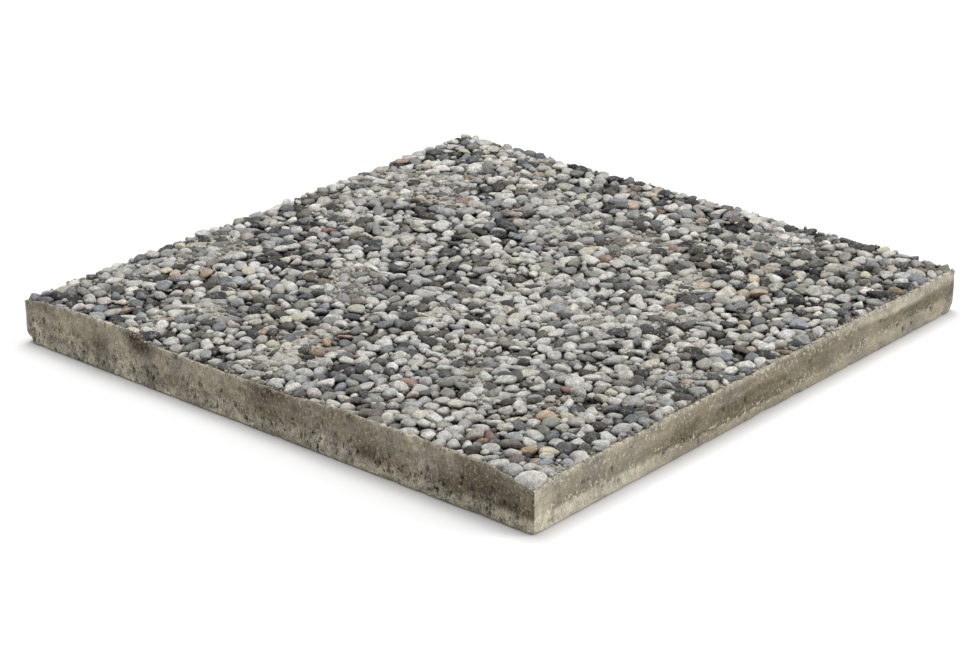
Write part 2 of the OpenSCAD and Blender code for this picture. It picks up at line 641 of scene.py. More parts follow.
@dataclass(frozen=True)
class RiverStone:
    """Finish of one kind of washed stone; each stone has its own tint and marks."""

    share: float
    tints: tuple[Colour, ...]
    spread: float
    rough: tuple[float, float]
    mottle: float
    fleck: float
    fleck_tone: Colour
    vein: float
    vein_tone: Colour
    film: Colour = linear(180, 177, 169)
    # Near-black painted shade for the lower sides of the stones, where they sink into the crevices
    crevice_shade: Colour = linear(31, 29, 26)

    def material(self, rock: Rock) -> bpy.types.Material:
        """Builds the finish.

        Args:
            rock: the kind of stone, for the material's name.

        Returns:
            The material.
        """
        sheet = ShaderSheet(f"washed_{rock.value}")
        place = sheet.place()
        seed = sheet.painted("stone_seed")
        marks = sheet.painted("stone_marks")
        shift = sheet.add("ShaderNodeCombineXYZ", {}, {0: seed * 410.0, 1: seed * 270.0, 2: seed * 190.0})
        inside = place + shift
        cloud = sheet.noise(inside, 4.2, 4.0, 0.62).eased(0.28, 0.72)
        grain = sheet.noise(inside, 0.9, 2.0, 0.7).eased(0.25, 0.75)
        chip, _ = sheet.cells(inside, 5.5)

        tone = 1 - 1.3 * self.mottle + 2.6 * self.mottle * cloud
        colour = sheet.painted("stone_tint", "Color") * (tone * (0.7 + 0.6 * grain))

        near, number = sheet.cells(inside, 1.6)
        fleck = near.eased(0.55, 0.25) * number.eased(0.6, 0.7) * marks * self.fleck
        colour = sheet.mix(colour, self.fleck_tone, fleck.kept())
        bend = sheet.noise(inside * (1.0, 0.45, 1.0), 13.0, 2.0, 0.5)
        vein = abs(bend - 0.5).eased(0.012, 0.004) * marks.eased(0.84, 0.9) * self.vein
        colour = sheet.mix(colour, self.vein_tone, vein.kept())

        crust = sheet.noise(place, 6.0, 5.0, 0.7)
        colour = sheet.mix(colour, self.film, crust.eased(0.51, 0.65, 0.0, 0.58) * (0.25 + 0.75 * grain))
        crumb = sheet.noise(place, 1.5, 3.0, 0.65).eased(0.57, 0.63) * crust.eased(0.44, 0.58)
        colour = sheet.mix(colour, self.film, 0.5 * crumb)
        # Painted shade: towards the mortar the stones darken to near black, standing in for the shade in
        # the crevices between them, except near the slab's sides
        rise = sheet.height(place) + 4.0 * (crust - 0.5)
        colour = sheet.mix(colour, self.crevice_shade, rise.eased(36.9, 33.6, 0.0, 0.92) * sheet.painted("inside"))

        low, high = self.rough
        roughness = low + (high - low) * cloud + crust.eased(0.5, 0.7, 0.0, 0.1)
        relief = 0.4 * cloud + 0.35 * grain + 0.5 * chip + 0.3 * crumb
        return sheet.surface(colour, roughness, sheet.bump(relief, 1.2, 0.9), 0.35)


ROCKS: dict[Rock, RiverStone] = {
    Rock.LIMESTONE: RiverStone(
        share=0.385, spread=0.1, rough=(0.62, 0.85), mottle=0.2,
        tints=(linear(208, 206, 200), linear(196, 196, 192), linear(214, 211, 203), linear(188, 186, 179)),
        fleck=0.25, fleck_tone=linear(134, 132, 127), vein=0.5, vein_tone=linear(222, 220, 214)),
    Rock.SANDSTONE: RiverStone(
        share=0.25, spread=0.15, rough=(0.7, 0.92), mottle=0.24,
        tints=(linear(181, 180, 174), linear(166, 166, 163), linear(183, 178, 167), linear(154, 156, 156)),
        fleck=0.5, fleck_tone=linear(102, 99, 92), vein=0.2, vein_tone=linear(194, 191, 183)),
    Rock.SLATE: RiverStone(
        share=0.19, spread=0.18, rough=(0.6, 0.82), mottle=0.24,
        tints=(linear(111, 113, 115), linear(121, 119, 112), linear(99, 102, 106), linear(108, 102, 93)),
        fleck=0.35, fleck_tone=linear(150, 148, 143), vein=0.3, vein_tone=linear(186, 184, 179)),
    Rock.BASALT: RiverStone(
        share=0.205, spread=0.18, rough=(0.5, 0.75), mottle=0.22,
        tints=(linear(64, 65, 67), linear(50, 50, 51), linear(76, 75, 71), linear(63, 59, 53)),
        fleck=0.25, fleck_tone=linear(112, 112, 110), vein=0.35, vein_tone=linear(170, 168, 163)),
    Rock.QUARTZITE: RiverStone(
        share=0.045, spread=0.07, rough=(0.5, 0.75), mottle=0.15,
        tints=(linear(206, 199, 184), linear(201, 197, 172), linear(214, 210, 202), linear(194, 184, 166)),
        fleck=0.15, fleck_tone=linear(182, 170, 148), vein=0.25, vein_tone=linear(228, 223, 211)),
    Rock.IRONSTONE: RiverStone(
        share=0.02, spread=0.1, rough=(0.6, 0.85), mottle=0.24,
        tints=(linear(178, 160, 142), linear(164, 143, 126), linear(146, 117, 105), linear(138, 119, 97)),
        fleck=0.25, fleck_tone=linear(110, 88, 76), vein=0.25, vein_tone=linear(198, 184, 164)),
    Rock.GREENSTONE: RiverStone(
        share=0.065, spread=0.13, rough=(0.58, 0.82), mottle=0.22,
        tints=(linear(134, 137, 130), linear(132, 137, 143), linear(140, 135, 138), linear(124, 125, 115)),
        fleck=0.3, fleck_tone=linear(96, 99, 94), vein=0.3, vein_tone=linear(190, 191, 187)),
    Rock.GRANITE: RiverStone(
        share=0.05, spread=0.1, rough=(0.66, 0.88), mottle=0.18,
        tints=(linear(178, 175, 169), linear(158, 155, 150), linear(180, 172, 165)),
        fleck=1.0, fleck_tone=linear(78, 76, 74), vein=0.1, vein_tone=linear(210, 207, 200)),
}
DARK_ROCKS = (Rock.SLATE, Rock.BASALT)
TINT_LIMITS = (0.02, 0.85)


class Side(Enum):
    """Upright faces of the slab, by the way each one faces."""

    FRONT_RIGHT = (0.0, -1.0)
    BACK_RIGHT = (1.0, 0.0)
    BACK_LEFT = (0.0, 1.0)
    FRONT_LEFT = (-1.0, 0.0)

    @property
    def number(self) -> int:
        """Place of the side in the walk round the plan."""
        return list(Side).index(self)


@dataclass
class Outline:
    """Plan of the slab: points round its edge, anticlockwise from the front corner."""

    half: float = HALF_SIDE - 0.1
    corner: float = 1.8
    mitre_from: float = 0.8
    spacing: float = 1.3
    arc_points: int = 4

    def trace(self) -> tuple[Array, Array, Array, Array]:
        """Walks round the plan.

        Returns:
            Points, outward directions, number of the side, and distance along the side from its start.
        """
        points, ways, sides, along = [], [], [], []
        straight = 2 * (self.half - self.corner)
        count = int(straight / self.spacing)
        for side in Side:
            out = np.array(side.value)
            run = np.array([-out[1], out[0]])
            start = out * self.half - run * (self.half - self.corner)
            for step in range(count):
                reach = straight * step / count
                points.append(start + run * reach)
                ways.append(out)
                sides.append(side.number)
                along.append(reach + self.corner)
            centre = out * (self.half - self.corner) + run * (self.half - self.corner)
            for step in range(self.arc_points):
                angle = math.pi / 2 * step / self.arc_points
                way = out * math.cos(angle) + run * math.sin(angle)
                points.append(centre + way * self.corner)
                ways.append(way)
                sides.append(side.number)
                along.append(2 * self.half - self.corner)
        return np.array(points), np.array(ways), np.array(sides), np.array(along)

    def moved_in(self, points: Array, ways: Array, inset: Array) -> Array:
        """Moves points of the plan inwards, past the corners' radius along the mitres.

        Args:
            points: places on the plan.
            ways: outward direction at each one.
            inset: how far in each one goes.

        Returns:
            The moved points.
        """
        near = np.minimum(inset, self.mitre_from * self.corner)
        shrink = (self.half - inset) / (self.half - near)
        return (points - ways * near[:, None]) * shrink[:, None]


RIM_KNOTS: tuple[tuple[float, float], ...] = (
    (0, 33.0), (8, 33.6), (24, 36.2), (31, 35.8), (38, 36.4), (54, 38.2), (80, 39.2), (110, 39.3),
    (119, 38.4), (134, 35.2), (146, 34.4), (160, 34.2), (230, 34.4), (268, 33.8), (300, 36.0),
    (328, 38.2), (450, 38.6), (464, 38.0), (481, 34.2), (490, 32.0), (500, 30.4))


@dataclass(frozen=True)
class Stain:
    """A brown stain on the worn sides: its strength, its place and half its size."""

    strength: float
    along: float
    up: float
    wide: float
    tall: float

    def at(self, reach: Array, height: Array) -> Array:
        """Strength of the stain at each vertex.

        Args:
            reach: distance along the side.
            height: height on the side.

        Returns:
            The strengths.
        """
        away = -((reach - self.along) / self.wide) ** 2 - ((height - self.up) / self.tall) ** 2
        return self.strength * np.exp(away)


STAINS: tuple[Stain, ...] = (
    Stain(2.2, 128.0, 33.0, 11.0, 8.5), Stain(0.9, 260.0, 30.0, 16.0, 7.0),
    Stain(0.45, 478.0, 20.0, 34.0, 9.0), Stain(0.45, 352.0, 17.0, 12.0, 5.0))


@dataclass
class Wrap:
    """Vertices of the body, wrapped round the plan, with one row of each array for each vertex.

    side is the number of its side, reach the distance along the side, inset the distance in from it, and
    spot the place before wear.
    """

    END = 499.4
    CORNER_REACH = 100.0

    side: Array
    reach: Array
    inset: Array
    height: Array
    spot: Array

    def on(self, side: Side) -> Array:
        """Tells which vertices are on a side."""
        return self.side == side.number

    @property
    def worn(self) -> Array:
        """Tells which vertices are on the coarse, stained sides: the left one and the one across."""
        return self.on(Side.FRONT_LEFT) | self.on(Side.BACK_RIGHT)

    @property
    def level(self) -> Array:
        """Places before wear, at height 0."""
        return np.column_stack([self.spot[:, :2], np.zeros(len(self.spot))])

    @property
    def near_end(self) -> Array:
        """Distances along the side to its nearer end."""
        return np.minimum(self.reach, self.END - self.reach)

    def at_corner(self, before: Side, after: Side) -> Array:
        """Tells which vertices are near the corner where one side ends and the next one starts."""
        ending = self.on(before) & (self.reach > 2 * HALF_SIDE - self.CORNER_REACH)
        return ending | (self.on(after) & (self.reach < self.CORNER_REACH))


@dataclass
class SlabBody:
    """Concrete body: worn sides, uneven rim, chipped lower edge and flat underside."""

    rim_height: float = 33.6
    rim_start: float = 0.4
    rim_width: float = 4.2
    rim_lowest: float = 29.0
    rim_drop: float = 3.2
    highest: float = 39.4
    rows: int = 27
    pits: int = 400
    pit_depth: float = 1.5
    pit_shares: tuple[float, ...] = (0.12, 0.38, 0.12, 0.38)
    chip_depth: float = 2.2
    break_depth: float = 1.5
    knock_left: float = 3.8
    knock_right: float = 2.2
    knock_front: float = 0.7
    seed: int = 11
    finish: CastConcrete = field(default_factory=CastConcrete)

    def profile(self) -> Array:
        """Section from the underside up the side and over the rim.

        Returns:
            Rows of distance in from the side, and height.
        """
        foot = [(40.0, 0.0), (22.0, 0.0), (10.0, 0.0), (4.0, 0.0), (1.5, 0.0),
                (0.7, 0.1), (0.25, 0.4), (0.05, 1.0)]
        wall = [(0.0, height) for height in np.linspace(2.0, self.rim_height - 2.2, self.rows)]
        top = self.rim_height
        rim = [(0.1, top - 1.3), (0.35, top - 0.6), (0.8, top - 0.15), (1.5, top), (2.6, top - 0.1),
               (4.0, top - 0.8), (5.6, top - 2.6), (7.6, top - 6.0), (10.0, top - 11.0)]
        return np.array(foot + wall + rim)

    def build(self) -> bpy.types.Object:
        """Wraps a grid round the plan, wears it and closes it.

        Returns:
            The body, dressed.
        """
        outline = Outline()
        plan, ways, sides, along = outline.trace()
        profile = self.profile()
        turns, levels = len(plan), len(profile)
        Bench.clear()
        bpy.ops.mesh.primitive_grid_add(x_subdivisions=turns, y_subdivisions=levels - 1, size=1.0)
        piece = Bench.start("slab_body")
        flat = Bench.points(piece)
        turn = np.rint((flat[:, 0] + 0.5) * turns).astype(int) % turns
        level = np.rint((flat[:, 1] + 0.5) * (levels - 1)).astype(int)

        inset, height = profile[level].T
        wrap = Wrap(sides[turn], along[turn], inset, height, np.column_stack([plan[turn], height]))
        weather, pitting = self.weathering(wrap)
        hollow = self.wear(wrap)
        place = outline.moved_in(plan[turn], ways[turn], wrap.inset)
        Bench.move_points(piece, np.column_stack([place, wrap.height]) * MM)
        Bench.paint(piece, "weather", weather)
        Bench.paint(piece, "pitting", pitting)
        # The hollow mask also drives the painted shade in the voids
        Bench.paint(piece, "hollow", hollow)

        Bench.edit(piece, "VERT")
        bpy.ops.mesh.select_all(action="SELECT")
        bpy.ops.mesh.remove_doubles(threshold=0.02 * MM)
        Bench.leave()
        Bench.close_rings(piece)
        Bench.shade_smooth(piece)
        piece.data.materials.append(self.finish.material())
        return piece

    def rim_of(self, piece: bpy.types.Object) -> Array:
        """Points along the top of the rim.

        Args:
            piece: the body.

        Returns:
            Rows of x, y, z, in millimetres.
        """
        points = Bench.points(piece) / MM
        edge = points[:, :2].max() - np.abs(points[:, :2]).max(axis=1)
        on_top = (edge > self.rim_start) & (edge < self.rim_width)
        return points[(points[:, 2] > self.rim_lowest) & on_top]

    def wear(self, wrap: Wrap) -> Array:
        """Wears the rim, the sides, the corners and the lower edge.

        Args:
            wrap: the body's vertices, which are moved.

        Returns:
            How far each vertex lies in a void, from 0 to 1.
        """
        noise = SmoothNoise(self.seed)
        self.wear_rim(wrap, noise)
        wall = eased(wrap.height, 0.5, 3.0) * eased(wrap.inset, 3.0, 0.5)
        coarse = 0.16 + 0.24 * eased(wrap.height, 20.0, 12.0) * wrap.worn
        bulge = 0.2 + 0.25 * noise.layered(wrap.spot, 45.0, 3)
        bulge = bulge + coarse * noise.layered(wrap.spot * (1, 1, 0.5), 5.0, 3)
        wrap.inset = wrap.inset + wall * np.clip(bulge, 0.0, 1.4)

        self.wear_foot(wrap, noise)
        arris = eased(wrap.near_end, 3.5, 0.0)
        arris = arris * np.clip(0.3 + noise.layered(wrap.spot + 15.0, 6.0, 2), 0.0, 1.0)
        wrap.inset = wrap.inset + wall * arris * 0.5
        hollow = self.hollows(wrap)
        wrap.inset = wrap.inset + self.pit_depth * hollow
        wrap.height = np.clip(wrap.height, 0.0, self.highest)
        return hollow

    def wear_rim(self, wrap: Wrap, noise: SmoothNoise) -> None:
        """Makes the rim uneven: by its knots on the left side, and by noise on the others.

        Args:
            wrap: the body's vertices, which are moved.
            noise: the body's noise.
        """
        level = wrap.level
        over = np.where(wrap.inset < self.rim_width, eased(wrap.height, 16.0, self.rim_height), 1.0)
        rim = over * (wrap.height > 1.0)
        wave = noise.layered(level, 34.0, 2) + 0.7 * noise.layered(level + 90.0, 6.0, 3)
        places, heights = zip(*RIM_KNOTS)
        others = np.where(wrap.on(Side.FRONT_RIGHT), -self.rim_drop * eased(wrap.reach, 17.0, 0.0),
                          0.8 * noise.at(level + 300.0, 60.0) - 1.2)
        raised = np.where(wrap.on(Side.FRONT_LEFT),
                          np.interp(wrap.reach, places, heights) - self.rim_height, others)
        wrap.height = wrap.height + rim * (wave * (1 - 0.6 * eased(raised, 3.0, 4.5)) + raised)
        inset = wrap.inset + rim * np.clip(0.9 * noise.layered(level + 40.0, 9.0, 3), 0.0, 1.2)
        wrap.inset = inset + eased(inset, 1.6, 4.0) * 1.5 * noise.layered(level + 150.0, 8.0, 3)

    def wear_foot(self, wrap: Wrap, noise: SmoothNoise) -> None:
        """Chips the lower edge, breaks it near the front corner and knocks the corners off.

        Args:
            wrap: the body's vertices, which are moved.
            noise: the body's noise.
        """
        level, reach, height = wrap.level, wrap.reach, wrap.height
        foot = eased(height, 5.5, 0.0)
        chips = np.clip(noise.layered(level + 200.0, 12.0, 3) - 0.12, 0.0, 1.0) * self.chip_depth
        broken = wrap.on(Side.FRONT_LEFT) * eased(reach, 425.0, 462.0) * eased(reach, 487.0, 474.0)
        broken = broken * np.clip(0.6 + noise.at(level + 77.0, 9.0), 0.0, 1.3)
        chips = chips + self.break_depth * broken
        left = wrap.at_corner(Side.BACK_LEFT, Side.FRONT_LEFT)
        right = wrap.at_corner(Side.FRONT_RIGHT, Side.BACK_RIGHT)
        front = wrap.at_corner(Side.FRONT_LEFT, Side.FRONT_RIGHT)
        knock = np.where(left, self.knock_left, self.knock_right * right + self.knock_front * front)
        knock = knock * eased(wrap.near_end, 10.0, 0.0) * eased(height, 9.0, 0.0)
        wrap.inset = wrap.inset + foot * chips + knock
        wrap.height = height + (0.25 * chips + 0.5 * broken) * foot * eased(height, 0.0, 0.3)

    def hollows(self, wrap: Wrap) -> Array:
        """Spreads small voids over the sides, most of them low down.

        Args:
            wrap: the body's vertices.

        Returns:
            How far each vertex lies in a void, from 0 to 1.
        """
        rng = np.random.default_rng(self.seed + 1)
        hollow = np.zeros(len(wrap.inset))
        for _ in range(self.pits):
            face = rng.choice(len(Side), p=self.pit_shares)
            middle, up = rng.uniform(4, 495), 2 + 26 * rng.beta(1.3, 1.9)
            wide, tall = rng.uniform(1.1, 2.4), rng.uniform(1.2, 3.2)
            deep = rng.uniform(0.4, self.pit_depth)
            along, above = (wrap.reach - middle) / wide, (wrap.height - up) / tall
            near = np.flatnonzero((wrap.side == face) & (np.abs(along) < 1) & (np.abs(above) < 1))
            away = along[near] ** 2 + above[near] ** 2
            hollow[near] = np.maximum(hollow[near], deep / self.pit_depth * np.clip(1 - away, 0.0, 1.0))
        return hollow

    def weathering(self, wrap: Wrap) -> tuple[Array, Array]:
        """Lays out the dirt, stains and pale bands on the sides.

        Args:
            wrap: the body's vertices, before wear.

        Returns:
            Rows of dark dirt, brown stain, pale band and pale specks, and the amount of pitting.
        """
        noise = SmoothNoise(self.seed + 2)
        broad, small = noise.layered(wrap.spot, 32.0, 3), noise.layered(wrap.spot, 7.0, 3)
        ragged = wrap.height + 4.0 * broad + 2.2 * small
        level = wrap.height + 2.0 * broad + 2.0 * small
        smear = noise.layered(wrap.spot * (1, 1, 5), 60.0, 3)
        blotch = noise.layered(wrap.spot + 31.0, 24.0, 4)
        upright = eased(wrap.inset, 6.0, 2.0) * eased(wrap.height, 0.2, 1.2)

        worn = self.worn_side(wrap.reach, ragged, blotch, smear)
        rows = np.where(wrap.worn[:, None], worn, self.banded_side(wrap.reach, level, blotch))
        pitting = upright * np.where(wrap.worn, 0.45 + 0.6 * eased(ragged, 24.0, 14.0), 0.22)
        return np.clip(rows * upright[:, None], 0.0, 1.0), np.clip(pitting, 0.0, 1.0)

    @staticmethod
    def worn_side(reach: Array, ragged: Array, blotch: Array, smear: Array) -> Array:
        """Weathers a coarse side: blotches of dirt, brown stains, and a pale foot and rim.

        Args:
            reach: distance along the side, for each vertex.
            ragged: its height, made ragged.
            blotch: cloudy noise.
            smear: noise drawn out along the side.

        Returns:
            Rows of dark dirt, brown stain, pale band and pale specks.
        """
        dark = 0.36 - 0.26 * eased(reach, 340.0, 140.0) + 1.1 * blotch + 0.4 * smear
        dark = dark + 0.65 * eased(reach, 400.0, 485.0) * eased(ragged, 10.0, 15.0)
        dark = dark + 0.12 * eased(reach, 350.0, 395.0) * (1 + 2.0 * eased(ragged, 22.0, 14.0))
        dark = dark * (1 - (0.35 + 0.4 * eased(reach, 330.0, 430.0)) * eased(ragged, 13.0, 6.0))
        brown = sum(stain.at(reach, ragged) for stain in STAINS) + 0.25 * eased(blotch, 0.1, 0.6)
        pale = 0.3 * eased(ragged, 31.0, 35.0) + 0.5 * eased(-blotch, 0.1, 0.5)
        pale = pale + 0.58 * eased(ragged, 13.0, 5.0) * eased(reach, -40.0, 110.0)
        pale = pale + 0.1 * eased(reach, 390.0, 440.0)
        pale = pale + 0.3 * eased(ragged, 19.0, 12.0) * eased(np.abs(reach - 300.0), 60.0, 20.0)
        return np.column_stack([dark, brown, pale, np.full(len(reach), 0.3)])

    @staticmethod
    def banded_side(reach: Array, level: Array, blotch: Array) -> Array:
        """Weathers a smooth side: a dark band between a pale foot and a pale rim, with specks.

        Args:
            reach: distance along the side, for each vertex.
            level: its height, made a little ragged.
            blotch: cloudy noise.

        Returns:
            Rows of dark dirt, brown stain, pale band and pale specks.
        """
        far = eased(reach, 270.0, 420.0)
        lower = 13.0 - 6.0 * eased(reach, 60.0, 210.0) + 6.0 * far
        upper = 32.0 - 8.0 * far
        band = eased(level, lower - 1.5, lower + 2.5) * eased(level, upper + 2.0, upper - 2.0)
        foot = eased(level, lower + 1.0, lower - 3.0)
        fade = 1 - 0.6 * eased(reach, 230.0, 360.0) + 0.2 * eased(reach, 390.0, 440.0)
        fade = fade * (1 - 0.55 * eased(level, 17.0, 25.0) * eased(reach, 310.0, 260.0))
        fade = fade * (1 - 0.3 * np.exp(-((reach - 245.0) / 50.0) ** 2))
        dark = 0.45 * eased(reach, 6.0, 30.0) + eased(reach, 100.0, 165.0)
        dark = 1.3 * dark * band * (0.8 + 0.5 * blotch) * fade
        dark = dark + 0.35 * foot * eased(reach, 95.0, 150.0) * (1 - 0.5 * far)
        pale = 1.1 * foot * (1 - 0.85 * eased(reach, 95.0, 165.0))
        pale = pale + 0.45 * eased(level, 30.0, 33.2) * (1 - 0.6 * eased(reach, 90.0, 160.0))
        pale = pale + 0.45 * eased(reach, 24.0, 5.0) + 0.3 * far * eased(level, upper - 3.0, upper + 3.0)
        specks = 0.2 + 0.7 * np.exp(-((level - lower - 1.0) / 4.0) ** 2) + 0.5 * eased(level, 21.0, 29.0)
        return np.column_stack([dark, 0.12 * eased(blotch, 0.2, 0.7), pale, specks * (1 - 0.4 * far)])


@dataclass
class Stone:
    """One stone of the face: its place, half sizes, lie and look."""

    x: float
    y: float
    top: float
    long: float
    short: float
    deep: float
    turn: float
    rock: Rock
    tint: Colour
    tilt: tuple[float, float] = (0.0, 0.0)
    marks: float = 0.3
    smooth: bool = False


ACROSS = -0.87
FRONT_STONES: tuple[Stone, ...] = (
    Stone(-241.2, -240.0, 38.4, 11.8, 10.4, 9.4, ACROSS,
          Rock.LIMESTONE, linear(206, 203, 197), (0.0, 0.0), 0.05, True),
    Stone(-228.0, -214.5, 38.6, 7.6, 6.4, 5.4, ACROSS,
          Rock.GREENSTONE, linear(128, 115, 115), (0.1, 0.2)),
    Stone(-211.5, -213.5, 38.4, 5.8, 4.8, 4.4, ACROSS - 0.3, Rock.IRONSTONE, linear(176, 150, 120)),
    Stone(-204.5, -224.5, 38.9, 6.9, 5.2, 4.8, ACROSS + 0.4,
          Rock.QUARTZITE, linear(212, 200, 174), (0.0, 0.2)),
    Stone(-162.0, -187.0, 39.2, 7.6, 6.2, 5.0, ACROSS, Rock.IRONSTONE, linear(198, 172, 148)),
    Stone(-218.5, -235.0, 38.0, 7.4, 5.2, 4.8, ACROSS + 0.5,
          Rock.GREENSTONE, linear(146, 149, 153), (0.2, 0.2)),
    Stone(-202.0, -193.0, 38.9, 7.0, 6.2, 5.2, ACROSS,
          Rock.LIMESTONE, linear(168, 171, 174), (0.0, 0.1), 0.9),
    Stone(-221.0, -156.0, 39.0, 7.6, 6.4, 5.6, ACROSS,
          Rock.GRANITE, linear(196, 196, 191), (0.0, 0.0), 0.7),
    Stone(-226.5, -172.0, 37.6, 4.4, 4.0, 3.8, ACROSS, Rock.BASALT, linear(74, 65, 61)),
    Stone(-219.5, -180.0, 37.8, 4.8, 4.2, 3.8, ACROSS, Rock.IRONSTONE, linear(148, 122, 92)),
    Stone(-193.0, -230.0, 38.7, 7.8, 5.8, 5.2, ACROSS + 0.2, Rock.BASALT, linear(86, 86, 86)),
    Stone(-203.5, -236.5, 37.6, 4.6, 4.0, 3.8, ACROSS, Rock.GREENSTONE, linear(140, 143, 148)),
    Stone(-207.5, -243.6, 37.2, 5.4, 3.9, 4.2, ACROSS + 0.5, Rock.LIMESTONE, linear(174, 171, 173)),
    Stone(-224.5, -191.5, 38.6, 6.6, 5.6, 5.4, ACROSS - 0.4,
          Rock.LIMESTONE, linear(192, 192, 186), (0.2, 0.1)),
    Stone(-234.5, -200.5, 37.9, 6.2, 5.2, 5.0, ACROSS, Rock.LIMESTONE, linear(188, 189, 183)),
    Stone(-146.0, -239.0, 38.4, 8.2, 5.8, 5.6, ACROSS + 0.9, Rock.LIMESTONE, linear(176, 172, 172)),
)
LEFT_STONES: tuple[Stone, ...] = (
    Stone(-243.6, 243.0, 37.6, 6.2, 5.2, 4.6, 0.8, Rock.SLATE, linear(128, 124, 130), (0.1, 0.0)),
    Stone(-243.8, 231.6, 38.4, 6.0, 5.0, 4.8, ACROSS, Rock.GREENSTONE, linear(120, 116, 124), (0.1, 0.1)),
    Stone(-232.6, 242.6, 38.2, 6.6, 5.4, 4.6, 0.4, Rock.LIMESTONE, linear(186, 186, 184)),
    Stone(-242.8, 221.4, 38.0, 5.2, 4.4, 4.2, ACROSS, Rock.SLATE, linear(106, 102, 100)),
    Stone(-231.4, 229.8, 39.0, 7.2, 5.8, 4.8, ACROSS + 0.3, Rock.BASALT, linear(74, 72, 72)),
    Stone(-220.8, 238.4, 38.8, 7.4, 6.0, 5.0, 0.2, Rock.QUARTZITE, linear(188, 184, 168)),
    Stone(-236.0, 212.0, 37.6, 5.6, 4.6, 4.0, ACROSS, Rock.BASALT, linear(62, 60, 60)),
)


class GapMap:
    """How much room is left round each place of the face."""

    CORNER = 8.0
    RIM = 3.5
    RIM_WANDER = 2.2
    END_SHARE = 0.8
    REACH = 30

    def __init__(self, noise: SmoothNoise) -> None:
        """Starts with an empty face inside its rim.

        Args:
            noise: noise that makes the rim narrower and wider.
        """
        self.half = int(HALF_SIDE)
        axis = np.arange(-self.half, self.half + 1, dtype=float)
        self.xs, self.ys = np.meshgrid(axis, axis, indexing="ij")
        flat = np.column_stack([self.xs.ravel(), self.ys.ravel(), np.zeros(self.xs.size)])
        rim = self.RIM + self.RIM_WANDER * noise.layered(flat, 22.0, 3).reshape(self.xs.shape)
        over = [np.maximum(np.abs(axis) - HALF_SIDE + self.CORNER, 0.0) for axis in (self.xs, self.ys)]
        self.room = np.minimum(from_edge(self.xs, self.ys), self.CORNER - np.hypot(*over)) - rim

    def at(self, x: Array, y: Array) -> Array:
        """Room at some places, to the nearest millimetre."""
        i = np.clip(np.rint(np.asarray(x) + self.half).astype(int), 0, 2 * self.half)
        j = np.clip(np.rint(np.asarray(y) + self.half).astype(int), 0, 2 * self.half)
        return self.room[i, j]

    def best_turn(self, x: float, y: float, long: float, angles: Array) -> float:
        """The turn at which both ends of a long stone have the most room.

        Args:
            x: middle of the stone.
            y: middle of the stone.
            long: half its length.
            angles: turns to choose from.

        Returns:
            The best of them.
        """
        dx, dy = np.cos(angles) * long * self.END_SHARE, np.sin(angles) * long * self.END_SHARE
        ends = np.minimum(self.at(x + dx, y + dy), self.at(x - dx, y - dy))
        return float(angles[int(np.argmax(ends))])

    def set_stone(self, stone: Stone) -> None:
        """Takes up the room of a stone."""
        wide = int(stone.long + self.REACH)
        i, j = int(round(stone.x)) + self.half, int(round(stone.y)) + self.half
        part = (slice(max(0, i - wide), i + wide + 1), slice(max(0, j - wide), j + wide + 1))
        dx, dy = self.xs[part] - stone.x, self.ys[part] - stone.y
        run = dx * math.cos(stone.turn) + dy * math.sin(stone.turn)
        cross = dy * math.cos(stone.turn) - dx * math.sin(stone.turn)
        shares = np.maximum(np.hypot(run / stone.long, cross / stone.short), 1e-3)
        away = np.hypot(dx, dy)
        self.room[part] = np.minimum(self.room[part], np.maximum(away * (1 - 1 / shares), -stone.short))


@dataclass
class StoneMould:
    """A worn stone, modelled once and copied into each place."""

    cuts: int
    wobble: float = 0.07
    facets: int = 7
    facet_depth: float = 0.9
    smooth_power: float = 2.6

    def model(self) -> tuple[Array, Array]:
        """Rounds a divided cube.

        Returns:
            Vertices on a ball of radius 1, and faces of four corners.
        """
        Bench.clear()
        bpy.ops.mesh.primitive_cube_add(size=2.0)
        piece = Bench.start("stone_mould")
        Bench.edit(piece, "FACE")
        bpy.ops.mesh.select_all(action="SELECT")
        bpy.ops.mesh.subdivide(number_cuts=self.cuts)
        Bench.leave()
        piece.modifiers.new("round", "CAST").factor = 1.0
        bpy.ops.object.modifier_apply(modifier="round")
        points, faces = Bench.melt(piece)
        return points / np.linalg.norm(points, axis=1)[:, None], faces

    def cast(self, ball: Array, stone: Stone, rng: np.random.Generator) -> Array:
        """Shapes one copy: lumps, flats worn by the river, size, lie and place.

        Args:
            ball: vertices of the mould.
            stone: the stone to shape.
            rng: source of random numbers.

        Returns:
            Its vertices, in millimetres.
        """
        spin = np.array(Matrix.Rotation(rng.uniform(0, 6.28), 3, Vector(rng.normal(0, 1, 3))))
        ball = ball @ spin
        power = self.smooth_power if stone.smooth else rng.uniform(2.0, 3.6)
        points = ball / (np.abs(ball) ** power).sum(axis=1)[:, None] ** (1 / power)
        waves = rng.normal(0.0, 1.4, (5, 3))
        lumps = np.cos(ball @ waves.T + rng.uniform(0, 2 * math.pi, 5)) @ rng.uniform(0.3, 1.0, 5)
        points = points * (1 + self.wobble * lumps)[:, None]
        for _ in range(0 if stone.smooth else self.facets):
            way = rng.normal(0.0, 1.0, 3)
            way /= np.linalg.norm(way)
            over = np.clip(points @ way - rng.uniform(0.42, 0.98), 0.0, None)
            points = points - self.facet_depth * over[:, None] * way
        points = points - (points.max(axis=0) + points.min(axis=0)) / 2
        points = points / np.abs(points).max(axis=0) * (stone.long, stone.short, stone.deep)
        lie = (Matrix.Rotation(stone.turn, 3, "Z") @ Matrix.Rotation(stone.tilt[0], 3, "X")
               @ Matrix.Rotation(stone.tilt[1], 3, "Y"))
        points = points @ np.array(lie).T
        points[:, 2] += stone.top - points[:, 2].max()
        return points + (stone.x, stone.y, 0.0)


